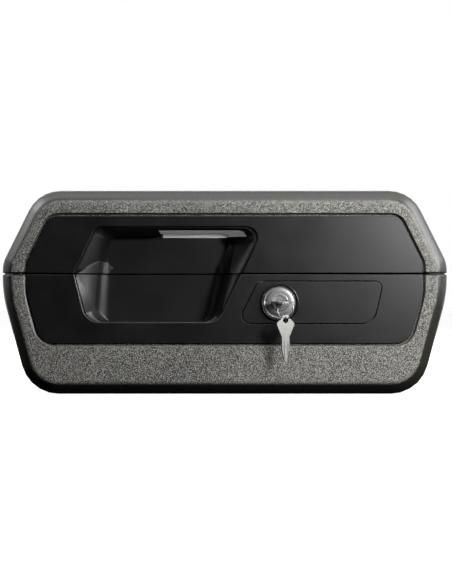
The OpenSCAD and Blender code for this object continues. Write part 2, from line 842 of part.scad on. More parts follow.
module wafer_tumblers() {
    color([0.78, 0.62, 0.30]) for (i = [0:wafers - 1]) difference() {
        keyway(wafer_w, wafer_h, wafer_y(i), wafer_y(i) + wafer_t);
        keyway(2 * (blade_half + play), keyway_h, wafer_y(i) - 1, wafer_y(i) + wafer_t + 1);
    }
}

module lock_cam() {
    color([0.68, 0.68, 0.66]) difference() {
        along_y(cam_y, cam_y + cam_t) polygon(rounded([[lock_x + cam_w / 2, lock_z - cam_w / 2, 3],
            [lock_x + cam_tip_w / 2, lock_z + cam_reach, 2.4],
            [lock_x - cam_tip_w / 2, lock_z + cam_reach, 2.4],
            [lock_x - cam_w / 2, lock_z - cam_w / 2, 3]]));
        keyway(stud + 2 * running, stud + 2 * running, cam_y - 1, cam_y + cam_t + 1);
    }
}

module cam_screw() {
    y0 = cam_y + cam_t;
    color([0.60, 0.60, 0.58]) difference() {
        union() {
            lock_bar(3, cam_y - 3.5, y0 + 0.2);
            lock_bar(7.4, y0, y0 + 2.2);
        }
        keyway(5, 0.9, y0 + 1.3, y0 + 3);
    }
}

// ---------- keys ----------

module key_outline() {
    difference() {
        polygon(rounded(both_sides(key_half), 0, 4));
        circle(d = key_hole_d);
    }
}

// A key with its hole at the origin, its face towards -Y and its blade down
module key() {
    difference() {
        along_y(-key_t / 2, key_t / 2) key_outline();
        for (s = [-1, 1], f = [-1, 1])
            between(s * blade_groove_at - blade_groove / 2, s * blade_groove_at + blade_groove / 2,
                f * key_t / 2 - 0.35, f * key_t / 2 + 0.35, -blade_tip, -16.7);
    }
}

module inserted_key() {
    color([0.72, 0.71, 0.68]) translate([lock_x, key_y, lock_z]) rotate([90, 0, 0]) key();
}

module key_ring() {
    color([0.80, 0.80, 0.80]) translate(ring_at) rotate([90, 0, ring_turn])
        rotate_extrude() translate([ring_r, 0]) circle(d = ring_wire, $fn = 24);
}

module spare_key() {
    color([0.72, 0.71, 0.68]) translate(spare_hole) rotate([0, 0, spare_turn]) key();
}

base_shell();
base_liner();
base_insulation();
base_fascia();
fill_plugs();
rim_seal();
lock_plate();
lock_bezel();
lock_housing();
lock_washer();
lock_nut();
hinge_leaf_base_left();
hinge_leaf_base_right();
hinge_pin_left();
hinge_pin_right();
hinge_screws_base();
lid_shell();
lid_liner();
lid_insulation();
lid_fascia();
strike();
strike_screws();
hinge_leaf_lid_left();
hinge_leaf_lid_right();
hinge_screws_lid();
lock_plug();
wafer_tumblers();
lock_cam();
cam_screw();
inserted_key();
key_ring();
spare_key();
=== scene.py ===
"""Looks of the insulated key-locking chest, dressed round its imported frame.

Every length is in metres, in the frame's own axes: +X right, +Z up, and the front faces -Y.
"""

from __future__ import annotations

import json
import logging
import math
from collections.abc import Callable
from dataclasses import dataclass
from enum import Enum

import bmesh
import bpy
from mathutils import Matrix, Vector

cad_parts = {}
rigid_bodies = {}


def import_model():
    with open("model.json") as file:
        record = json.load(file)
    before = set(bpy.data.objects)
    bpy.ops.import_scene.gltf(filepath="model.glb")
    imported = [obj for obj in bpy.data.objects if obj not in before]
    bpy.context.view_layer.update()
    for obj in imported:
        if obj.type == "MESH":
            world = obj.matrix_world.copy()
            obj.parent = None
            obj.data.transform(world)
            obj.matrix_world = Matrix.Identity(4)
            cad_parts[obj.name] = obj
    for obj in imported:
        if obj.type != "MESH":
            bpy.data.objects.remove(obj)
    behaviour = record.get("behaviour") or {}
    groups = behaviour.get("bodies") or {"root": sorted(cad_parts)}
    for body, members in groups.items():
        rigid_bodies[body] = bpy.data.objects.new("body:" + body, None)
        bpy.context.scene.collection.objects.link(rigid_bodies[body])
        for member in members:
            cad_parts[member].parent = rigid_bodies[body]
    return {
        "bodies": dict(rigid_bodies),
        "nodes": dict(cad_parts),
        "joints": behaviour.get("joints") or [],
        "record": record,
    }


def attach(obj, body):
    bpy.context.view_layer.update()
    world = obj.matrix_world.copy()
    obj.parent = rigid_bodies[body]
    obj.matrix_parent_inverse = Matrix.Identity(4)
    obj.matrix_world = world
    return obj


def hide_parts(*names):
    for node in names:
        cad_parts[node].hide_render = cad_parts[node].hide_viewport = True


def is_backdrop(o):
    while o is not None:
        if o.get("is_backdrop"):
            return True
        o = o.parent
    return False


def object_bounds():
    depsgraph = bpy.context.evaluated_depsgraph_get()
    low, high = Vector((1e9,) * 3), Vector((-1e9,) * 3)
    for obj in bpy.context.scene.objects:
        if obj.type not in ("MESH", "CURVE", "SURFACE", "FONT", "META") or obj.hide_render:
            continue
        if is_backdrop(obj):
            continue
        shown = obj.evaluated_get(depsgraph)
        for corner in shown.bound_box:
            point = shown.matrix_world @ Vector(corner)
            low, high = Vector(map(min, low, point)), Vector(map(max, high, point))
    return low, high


log = logging.getLogger("chest")

Point = tuple[float, float, float]
Pair = tuple[float, float]

MM = 0.001
PICTURE_HEIGHT = 588  # in pixels, the picture's longer side
WHITE = (1.0, 1.0, 1.0, 1.0)
BLACK = (0.0, 0.0, 0.0, 1.0)
CARD_RISE = 0.4 * MM  # how far the cards that lie on the floor stand over it


class Space(Enum):
    """The coordinates that a pattern can read."""

    OBJECT = "Object"
    NORMAL = "Normal"


# ---------- nodes ----------


class Tree:
    """A node tree, and the one way in which it gets its nodes."""

    def __init__(self, tree: bpy.types.NodeTree) -> None:
        """Wraps a tree.

        Args:
            tree: Blender's own tree.
        """
        self.tree = tree

    def node(self, kind: str, settings: dict | None = None, **inputs: object) -> bpy.types.Node:
        """Adds a node.

        Args:
            kind: the node's type.
            settings: its properties, set first.
            inputs: what its sockets get, as in feed.

        Returns:
            The node.
        """
        node = self.tree.nodes.new(kind)
        for key, value in (settings or {}).items():
            setattr(node, key, value)
        self.feed(node, **inputs)
        return node

    def feed(self, node: bpy.types.Node, **inputs: object) -> None:
        """Sets or links some of a node's inputs.

        Args:
            node: the node that has them.
            inputs: a number, a colour, a Value, an output socket or a list of them for each. A name
                has _ for a space, and a socket that has no name of its own is _ and its number.
        """
        for key, value in inputs.items():
            if key[0] == "_":
                slot = node.inputs[int(key[1:])]
            else:
                name = key.replace("_", " ")
                slot = next(s for s in node.inputs if s.name == name and s.enabled)
            for item in value if isinstance(value, list) else [value]:
                source = item.socket if isinstance(item, Value) else item
                if isinstance(source, bpy.types.NodeSocket):
                    self.tree.links.new(source, slot)
                else:
                    slot.default_value = source


class Value:
    """A number that changes over a surface, on which Python's operators add Math nodes."""

    def __init__(self, tree: Tree, socket: bpy.types.NodeSocket) -> None:
        """Wraps a socket.

        Args:
            tree: the tree that holds it.
            socket: the output that carries the number.
        """
        self.tree = tree
        self.socket = socket

    def _math(self, operation: str, *values: Value | float) -> Value:
        """Adds a Math node.

        Args:
            operation: what the node does.
            values: its inputs, in order.

        Returns:
            The node's output.
        """
        inputs = {f"_{place}": value for place, value in enumerate(values)}
        node = self.tree.node("ShaderNodeMath", {"operation": operation}, **inputs)
        return Value(self.tree, node.outputs[0])

    def __add__(self, other: Value | float) -> Value:
        """The sum."""
        return self._math("ADD", self, other)

    __radd__ = __add__

    def __sub__(self, other: Value | float) -> Value:
        """The difference."""
        return self._math("SUBTRACT", self, other)

    def __rsub__(self, other: float) -> Value:
        """The difference from a number."""
        return self._math("SUBTRACT", other, self)

    def __mul__(self, other: Value | float) -> Value:
        """The product."""
        return self._math("MULTIPLY", self, other)

    __rmul__ = __mul__

    def __abs__(self) -> Value:
        """The size without its sign."""
        return self._math("ABSOLUTE", self)

    def least(self, other: Value | float) -> Value:
        """The smaller of the two."""
        return self._math("MINIMUM", self, other)

    def step(self, low: float, high: float) -> Value:
        """A soft step.

        Args:
            low: where it leaves 0.
            high: where it reaches 1.

        Returns:
            The step.
        """
        node = self.tree.node("ShaderNodeMapRange", {"interpolation_type": "SMOOTHSTEP"},
                              Value=self, From_Min=low, From_Max=high)
        return Value(self.tree, node.outputs["Result"])


class Paint(Tree):
    """A material in the making: its tree, its main shader and its patterns."""

    def __init__(self, name: str) -> None:
        """Starts an empty material.

        Args:
            name: the material's name.
        """
        self.material = bpy.data.materials.new(name)
        self.material.use_nodes = True
        super().__init__(self.material.node_tree)
        self.shader = self.tree.nodes["Principled BSDF"]
        self.coordinates = self.node("ShaderNodeTexCoord")

    def place(self, space: Space = Space.OBJECT) -> bpy.types.NodeSocket:
        """The coordinates that a pattern reads."""
        return self.coordinates.outputs[space.value]

    def axis(self, letter: str, space: Space = Space.OBJECT) -> Value:
        """One coordinate.

        Args:
            letter: X, Y or Z.
            space: which coordinates.

        Returns:
            The number.
        """
        split = self.node("ShaderNodeSeparateXYZ", Vector=self.place(space))
        return Value(self, split.outputs[letter])

    def past(self, letter: str, edge: float, soft: float) -> Value:
        """Marks what lies past an edge.

        Args:
            letter: X, Y or Z.
            edge: where the mark starts.
            soft: how far on it is whole.

        Returns:
            0 before the edge, 1 past it.
        """
        return self.axis(letter).step(edge, edge + soft)

    def band(self, letter: str, middle: float, half: float, soft: float) -> Value:
        """Marks a band.

        Args:
            letter: X, Y or Z.
            middle: the band's middle.
            half: half its width.
            soft: how far out it fades.

        Returns:
            1 in the band, 0 outside it.
        """
        return 1 - abs(self.axis(letter) - middle).step(half, half + soft)

    def frontward(self, low: float = 0.5, high: float = 0.6) -> Value:
        """Marks faces that point to the front.

        Args:
            low: how squarely a face points there to get 0, from 0 to 1.
            high: how squarely it does to get 1.

        Returns:
            The mark.
        """
        return (0 - self.axis("Y", Space.NORMAL)).step(low, high)

    def noise(self, size: float, detail: float, stretch: Point = (1, 1, 1)) -> Value:
        """Cloudy noise.

        Args:
            size: the size of its patches.
            detail: how many finer layers it has.
            stretch: how much longer the patches are along each axis.

        Returns:
            A number about 0.5.
        """
        scale = tuple(1 / (size * share) for share in stretch)
        mapping = self.node("ShaderNodeMapping", Vector=self.place(), Scale=scale)
        node = self.node("ShaderNodeTexNoise", Vector=mapping.outputs[0], Scale=1.0, Detail=detail)
        return Value(self, node.outputs["Fac"])

    def cells(self, size: float, softness: float) -> Value:
        """The distance to the middle of the nearest cell, rounded off between cells.

        Args:
            size: the size of a cell.
            softness: how much the cells melt together.

        Returns:
            0 in the middle, near 1 at the rims.
        """
        node = self.node("ShaderNodeTexVoronoi", {"feature": "SMOOTH_F1"}, Vector=self.place(),
                         Scale=1 / size, Smoothness=softness)
        return Value(self, node.outputs["Distance"])

    def mixed(self, mask: Value, low: Point | bpy.types.NodeSocket,
              high: Point | bpy.types.NodeSocket) -> bpy.types.NodeSocket:
        """A colour between two.

        Args:
            mask: 0 for the first, 1 for the second.
            low: the first colour, or its socket.
            high: the second colour, or its socket.

        Returns:
            The colour's socket.
        """
        low, high = ((*end, 1) if isinstance(end, tuple) else end for end in (low, high))
        node = self.node("ShaderNodeMix", {"data_type": "RGBA"}, Factor=mask, A=low, B=high)
        return next(socket for socket in node.outputs if socket.enabled)

    def relief(self, height: Value, depth: float) -> None:
        """Bumps the surface.

        Args:
            height: 0 low, 1 high.
            depth: the height of 1.
        """
        self.surface(Normal=self.node("ShaderNodeBump", Height=height, Distance=depth).outputs[0])

    def surface(self, **inputs: object) -> None:
        """Sets the main shader's inputs, with _ for a space in a name."""
        self.feed(self.shader, **inputs)


def grey(level: float, warmth: float = 0.0) -> Point:
    """A linear grey from a screen level.

    Args:
        level: the level on screen, 0 to 255.
        warmth: how warm it is: more red, and less blue.

    Returns:
        The colour.
    """
    toe, slope, offset, power = 0.04045, 12.92, 0.055, 2.4
    share = level / 255
    linear = share / slope if share <= toe else ((share + offset) / (1 + offset)) ** power
    more_red, less_blue = 0.4, 1.6
    return linear * (1 + more_red * warmth), linear, linear * (1 - less_blue * warmth)


# ---------- finishes ----------


@dataclass(frozen=True)
class MouldedShell:
    """Charcoal plastic: a coarse moulded stipple, grey on the faces with light flecks that are
    partly painted glints off its bumps, dark chamfers, a painted shade along the seam, and painted
    light on the finger slot's rear wall.
    """

    name: str = "textured_shell"
    level: float = 104
    # the flecks' contrast: the light flecks are partly the plastic's own tone and partly painted
    # glints off the stipple's bumps
    contrast: float = 98
    warmth: float = 0.05
    grain: float = 0.74 * MM
    melt: float = 0.35  # how much the bubbles melt together
    pit: float = 0.62  # a pit's size, as a share of the grain
    depth: float = 0.36 * MM
    heights: Pair = (0.6, 0.7)  # of bubbles and of pits, as shares of the depth
    speck_mix: Point = (1.5, 0.7, 0.72)  # weights of pits and bubbles, and what is taken off
    speck_edges: Pair = (0.27, 0.73)
    speck_gloss: float = 0.08
    drift_size: float = 60 * MM
    drift: float = 0.15
    face_roughness: float = 0.32
    chamfer_roughness: float = 0.34
    chamfer_levels: Pair = (25, 43)
    chamfer_warmth: float = 0.08
    chamfer_relief: float = 0.14
    chamfer_lean: Pair = (0.22, 0.5)  # how much a side and a chamfer point to the front or the rear
    front_lean: Pair = (0.86, 0.985)  # the same for a chamfer and the front
    # painted shade: a band round the parting seam is painted dark and a little rougher, as the
    # shade in its crease
    seam_z: float = 98 * MM
    seam_half: float = 1.1 * MM
    seam_soft: float = 0.8 * MM
    seam_level: float = 16
    seam_roughness: float = 0.1
    slot_middle: float = -18 * MM
    slot_half: float = 46 * MM
    slot_low: float = 124 * MM
    slot_front: float = -119 * MM
    slot_rear: float = -100 * MM
    # painted light: the slot's rear wall is painted white for the light that falls down the slot
    slot_level: float = 255

    def chamfer(self, paint: Paint) -> Value:
        """Marks the smooth chamfers round the front and the rear.

        Args:
            paint: the material.

        Returns:
            The mark.
        """
        lean = abs(paint.axis("Y", Space.NORMAL))
        return lean.step(*self.chamfer_lean) * (1 - lean.step(*self.front_lean))

    def slot(self, paint: Paint) -> Value:
        """Marks the smooth rear wall of the finger slot, which is painted white as painted light
        falling down the slot.

        Args:
            paint: the material.

        Returns:
            The mark.
        """
        inside = paint.band("X", self.slot_middle, self.slot_half, MM)
        deep = paint.past("Y", self.slot_front, MM) * (1 - paint.past("Y", self.slot_rear, 2 * MM))
        return inside * deep * paint.past("Z", self.slot_low, MM) * paint.frontward()

    def material(self) -> bpy.types.Material:
        """Builds the material.

        Returns:
            The material.
        """
        paint = Paint(self.name)
        rough = 1 - self.chamfer(paint)
        bubbles = 1 - paint.cells(self.grain, self.melt)
        pits = paint.noise(self.grain * self.pit, 2.0)
        pit_weight, bubble_weight, less = self.speck_mix
        specks = (pits * pit_weight + bubbles * bubble_weight - less).step(*self.speck_edges)
        drift = paint.noise(self.drift_size, 1.0)
        # painted glints: light and dark flecks on the stipple, partly its own tone and partly
        # painted glints off the bumps
        flecks_and_glints = paint.mixed(specks * (1 - self.drift) + drift * self.drift,
                           grey(self.level - self.contrast, self.warmth),
                           grey(self.level + self.contrast, self.warmth))
        dark, light = (grey(level, self.chamfer_warmth) for level in self.chamfer_levels)
        smooth = paint.mixed(pits, dark, light)
        # painted shade: the dark band along the seam stands for the shade in the crease between the
        # halves
        seam = paint.band("Z", self.seam_z, self.seam_half, self.seam_soft)
        # painted light: the slot's rear wall is painted white, for the light that falls down the
        # slot
        slot = self.slot(paint)
        bubble_height, pit_height = self.heights
        height = bubbles * bubble_height + pits * pit_height
        shown = rough * (1 - self.chamfer_relief) + self.chamfer_relief
        paint.relief(height * shown * (1 - slot), self.depth)
        skin = paint.mixed(seam, paint.mixed(rough, smooth, flecks_and_glints), grey(self.seam_level))
        paint.surface(Base_Color=paint.mixed(slot, skin, grey(self.slot_level)),
                      Roughness=self.chamfer_roughness + rough * self.face_roughness
                      - specks * self.speck_gloss + seam * self.seam_roughness)
        return paint.material


@dataclass(frozen=True)
class SatinPlastic:
    """Smooth moulded plastic with a fine satin grain."""

    name: str
    level: float
    roughness: float
    grain: float = 0.35 * MM
    depth: float = 0.012 * MM
    grain_roughness: float = 0.06
    drift_size: float = 35 * MM
    drift_roughness: float = 0.05
    drift: float = 0.08

    def material(self) -> bpy.types.Material:
        """Builds the material.

        Returns:
            The material.
        """
        paint = Paint(self.name)
        fine = paint.noise(self.grain, 2.0)
        drift = paint.noise(self.drift_size, 2.0)
        paint.relief(fine, self.depth)
        paint.surface(Base_Color=paint.mixed(drift, grey(self.level * (1 - self.drift)),
                                             grey(self.level * (1 + self.drift))),
                      Roughness=self.roughness + fine * self.grain_roughness
                      + (drift - 1) * self.drift_roughness)
        return paint.material


@dataclass(frozen=True)
class FrontPanelPlastic:
    """Satin black plastic, with the foot of the finger slot's rear wall painted white as painted
    light falling down the slot.
    """

    name: str = "black_panel"
    levels: Pair = (4.2, 11.2)
    roughness: float = 0.29
    specular: float = 0.6
    grain: float = 0.8 * MM
    grain_roughness: float = 0.06
    depth: float = 0.035 * MM
    drift_size: float = 24 * MM
    drift_edges: Pair = (0.3, 0.7)
    drift_roughness: float = 0.16
    scuff_size: float = 5 * MM
    scuff_stretch: Point = (0.25, 1, 1)
    scuff_edges: Pair = (0.55, 0.8)
    scuff_roughness: float = 0.06
    foot_x: float = -16.5 * MM
    foot_half: float = 34.6 * MM
    foot_y: float = -114 * MM
    foot_z: float = 128 * MM
    # painted light: the foot of the slot's rear wall is painted white for the light that falls down
    # the slot
    foot_level: float = 255
    foot_roughness: float = 0.3
    floor_y: float = -113.6 * MM
    floor_lean: Pair = (0.93, 0.99)
    floor_level: float = 24
    edge: float = 0.1 * MM

    def foot(self, paint: Paint) -> Value:
        """Marks the foot of the finger slot's rear wall, which is painted white as painted light.

        Args:
            paint: the material.

        Returns:
            The mark.
        """
        inside = paint.band("X", self.foot_x, self.foot_half, self.edge)
        deep = paint.past("Y", self.foot_y, 3 * self.edge)
        return inside * paint.past("Z", self.foot_z, self.edge) * deep * paint.frontward()

    def material(self) -> bpy.types.Material:
        """Builds the material.

        Returns:
            The material.
        """
        paint = Paint(self.name)
        fine = paint.noise(self.grain, 2.0)
        drift = paint.noise(self.drift_size, 5.0)
        scuffs = paint.noise(self.scuff_size, 4.0, self.scuff_stretch).step(*self.scuff_edges)
        # painted light on the foot of the slot's rear wall
        foot = self.foot(paint)
        floor = paint.past("Y", self.floor_y, 3 * self.edge) * paint.frontward(*self.floor_lean)
        paint.relief(fine, self.depth)
        black = paint.mixed(drift.step(*self.drift_edges), *(grey(level) for level in self.levels))
        skin = paint.mixed(floor, black, grey(self.floor_level))
        paint.surface(Base_Color=paint.mixed(foot, skin, grey(self.foot_level)),
                      Roughness=self.roughness + fine * self.grain_roughness
                      + drift * self.drift_roughness + scuffs * self.scuff_roughness
                      + foot * self.foot_roughness,
                      Specular_IOR_Level=self.specular)
        return paint.material


@dataclass(frozen=True)
class CastFilling:
    """Pale cast insulation with pores."""

    name: str = "insulation"
    levels: Pair = (196, 226)
    warmths: Pair = (0.06, 0.05)
    roughness: float = 0.9
    depth: float = 0.3 * MM
    pore_size: float = 2.2 * MM
    pore_melt: float = 0.2
    pore_edges: Pair = (0.15, 0.5)
    pore_share: float = 0.4
    drift_size: float = 12 * MM
    drift_gloss: float = 0.1

    def material(self) -> bpy.types.Material:
        """Builds the material.

        Returns:
            The material.
        """
        paint = Paint(self.name)
        pores = paint.cells(self.pore_size, self.pore_melt).step(*self.pore_edges)
        drift = paint.noise(self.drift_size, 4.0)
        paint.relief((pores + drift) * 0.5, self.depth)
        shade = pores * self.pore_share + drift * (1 - self.pore_share)
        paint.surface(Base_Color=paint.mixed(shade, *map(grey, self.levels, self.warmths)),
                      Roughness=self.roughness - drift * self.drift_gloss)
        return paint.material


@dataclass(frozen=True)
class Metal:
    """Bare or plated metal with the lines that its making left."""

    name: str
    level: float
    roughness: float
    brushed: float = 0.0
    stretch: Point = (1, 1, 1)
    warmth: float = 0.0
    line_size: float = 0.12 * MM
    line_depth: float = 0.004 * MM
    line_roughness: float = 0.1
    smear_size: float = 3.5 * MM
    smear_shade: float = 0.93
    smear_roughness: float = 0.08

    def material(self) -> bpy.types.Material:
        """Builds the material.

        Returns:
            The material.
        """
        paint = Paint(self.name)
        lines = paint.noise(self.line_size, 3.0, self.stretch)
        smears = paint.noise(self.smear_size, 3.0)
        paint.relief(lines, self.line_depth * (1 + self.brushed))
        dull = grey(self.level * self.smear_shade, self.warmth)
        paint.surface(Base_Color=paint.mixed(smears, dull, grey(self.level, self.warmth)),
                      Metallic=1.0,
                      Roughness=self.roughness + (smears - 0.5) * self.smear_roughness
                      + lines * self.brushed * self.line_roughness)
        return paint.material


@dataclass(frozen=True)
class StovedPaint:
    """Black stoved paint over steel, with a faint orange peel."""

    name: str = "hinge_steel"
    levels: Pair = (34, 46)
    roughness: float = 0.34
    peel_size: float = 0.9 * MM
    peel_depth: float = 0.03 * MM
    peel_roughness: float = 0.12
    drift_size: float = 9 * MM

    def material(self) -> bpy.types.Material:
        """Builds the material.

        Returns:
            The material.
        """
        paint = Paint(self.name)
        peel = paint.noise(self.peel_size, 2.0)
        drift = paint.noise(self.drift_size, 3.0)
        paint.relief(peel, self.peel_depth)
        paint.surface(Base_Color=paint.mixed(drift, *(grey(level) for level in self.levels)),
                      Roughness=self.roughness + peel * self.peel_roughness)
        return paint.material


FINISHES = (
    MouldedShell(),
    FrontPanelPlastic(),
    SatinPlastic("black_trim", 14, 0.28),
    SatinPlastic("liner", 62, 0.52, 0.6 * MM, 0.03 * MM),
    CastFilling(),
    SatinPlastic("seal", 30, 0.62, 0.5 * MM, 0.02 * MM),
    Metal("chrome", 188, 0.38),
    Metal("steel", 196, 0.30, 1.0, (1, 1, 12)),
    StovedPaint(),
    Metal("brass", 205, 0.28, 0.6, (12, 1, 1), 0.22),
    Metal("key_nickel", 150, 0.39, 0.8, (1, 1, 14), 0.02),
)


# ---------- meshes ----------


def stood(name: str, data: bpy.types.ID) -> bpy.types.Object:
    """Stands a new object in the scene.

    Args:
        name: its name.
        data: its mesh, lamp or camera.

    Returns:
        The object.
    """
    thing = bpy.data.objects.new(name, data)
    bpy.context.scene.collection.objects.link(thing)
    return thing


def meshed(name: str, points: list, faces: list | None = None) -> bpy.types.Mesh:
    """Makes a mesh.

    Args:
        name: its name.
        points: its corners.
        faces: its faces, where it has any.

    Returns:
        The mesh.
    """
    mesh = bpy.data.meshes.new(name)
    mesh.from_pydata(points, [], faces or [])
    return mesh


def sheet(name: str, low: Point, high: Point) -> bpy.types.Mesh:
    """Makes a rectangle that is flat along one axis.

    Args:
        name: its name.
        low: one corner.
        high: the corner across from it.

    Returns:
        The mesh.
    """
    first, second = (axis for axis in range(3) if low[axis] != high[axis])
    corners = [tuple(high[axis] if axis in moved else low[axis] for axis in range(3))
               for moved in ((), (first,), (first, second), (second,))]
    return meshed(name, corners, [(0, 1, 2, 3)])


class Frame:
    """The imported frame: its nodes, their bodies and the finishes they take."""

    merge: float = 0.002 * MM
    flat_angle: float = math.radians(0.6)
    even_weight: int = 100

    def __init__(self) -> None:
        """Loads the frame and builds every finish."""
        self.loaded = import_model()
        self.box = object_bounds()
        self.finishes = {finish.name: finish.material() for finish in FINISHES}
        record = self.loaded["record"]
        self.slots = {part["node"]: part["material_slot"] for part in record["subparts"]}
        groups = record["behaviour"]["bodies"]
        self.bodies = {node: body for body, nodes in groups.items() for node in nodes}

    def rounded(self, node: str, width: float = 0.0, angle: float = 38, steps: int = 2,
                shape: Callable[[bmesh.types.BMesh], None] | None = None) -> None:
        """Stands a copy of a node with rounded edges and evenly shaded faces in its place.

        Args:
            node: the node's name.
            width: the width of the rounding.
            angle: edges sharper than this, in degrees, are rounded.
            steps: faces across the rounding.
            shape: moves the corners before the edges are rounded.
        """
        mesh = bpy.data.meshes.new(node + "_merged")
        work = bmesh.new()
        work.from_mesh(self.loaded["nodes"][node].data)
        bmesh.ops.remove_doubles(work, verts=work.verts, dist=self.merge)
        if shape:
            shape(work)
        bmesh.ops.dissolve_limit(work, angle_limit=self.flat_angle, verts=work.verts,
                                 edges=work.edges)
        work.to_mesh(mesh)
        work.free()
        mesh.shade_smooth()
        mesh.set_sharp_from_angle(angle=math.radians(angle))
        draft = stood(node + "_draft", mesh)
        if width:
            bevel = draft.modifiers.new("rounding", "BEVEL")
            bevel.width, bevel.segments = width, steps
            bevel.limit_method = "ANGLE"
            bevel.angle_limit = math.radians(angle)
            bevel.use_clamp_overlap = True
        even = draft.modifiers.new("even", "WEIGHTED_NORMAL")
        even.keep_sharp = True
        even.weight = self.even_weight
        self.settle(draft, node)

    def settle(self, draft: bpy.types.Object, node: str, smooth: float = 0.0) -> None:
        """Turns a draft with modifiers into the plain piece that stands in a node's place.

        Args:
            draft: the draft, which is removed.
            node: the node's name.
            smooth: where set, faces that meet at less than this, in degrees, are shaded as one.
        """
        graph = bpy.context.evaluated_depsgraph_get()
        mesh = bpy.data.meshes.new_from_object(draft.evaluated_get(graph), depsgraph=graph,
                                               preserve_all_data_layers=True)
        bpy.data.objects.remove(draft)
        if smooth:
            mesh.shade_smooth()
            mesh.set_sharp_from_angle(angle=math.radians(smooth))
        self.ready(node + "_skin", mesh, self.slots[node], self.bodies[node], node)

    def ready(self, name: str, mesh: bpy.types.Mesh, slot: str, body: str,
              node: str | None = None) -> None:
        """Stands a finished mesh in the scene as a piece.

        Args:
            name: the piece's name.
            mesh: its mesh.
            slot: the slot of its finish.
            body: the body that carries it.
            node: the node that it replaces, where there is one.
        """
        mesh.name = name
        mesh.materials.clear()
        mesh.materials.append(self.finishes[slot])
        piece = stood(name, mesh)
        if node:
            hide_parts(node)
        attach(piece, body)
        log.info("%s: %d faces", name, len(mesh.polygons))


# ---------- the studio ----------


@dataclass(frozen=True)
class Lamp:
    """A soft lamp that is aimed at a point, and that no camera sees."""

    name: str
    place: Point
    aim: Point
    size: Pair
    power: float

    def build(self) -> None:
        """Makes the lamp."""
        data = bpy.data.lights.new(self.name, "AREA")
        data.shape = "RECTANGLE"
        data.size, data.size_y = self.size
        data.energy = self.power
        lamp = stood(self.name, data)
        lamp.location = self.place
        sight = Vector(self.aim) - Vector(self.place)
        lamp.rotation_euler = sight.to_track_quat("-Z", "Y").to_euler()
        lamp.visible_camera = False


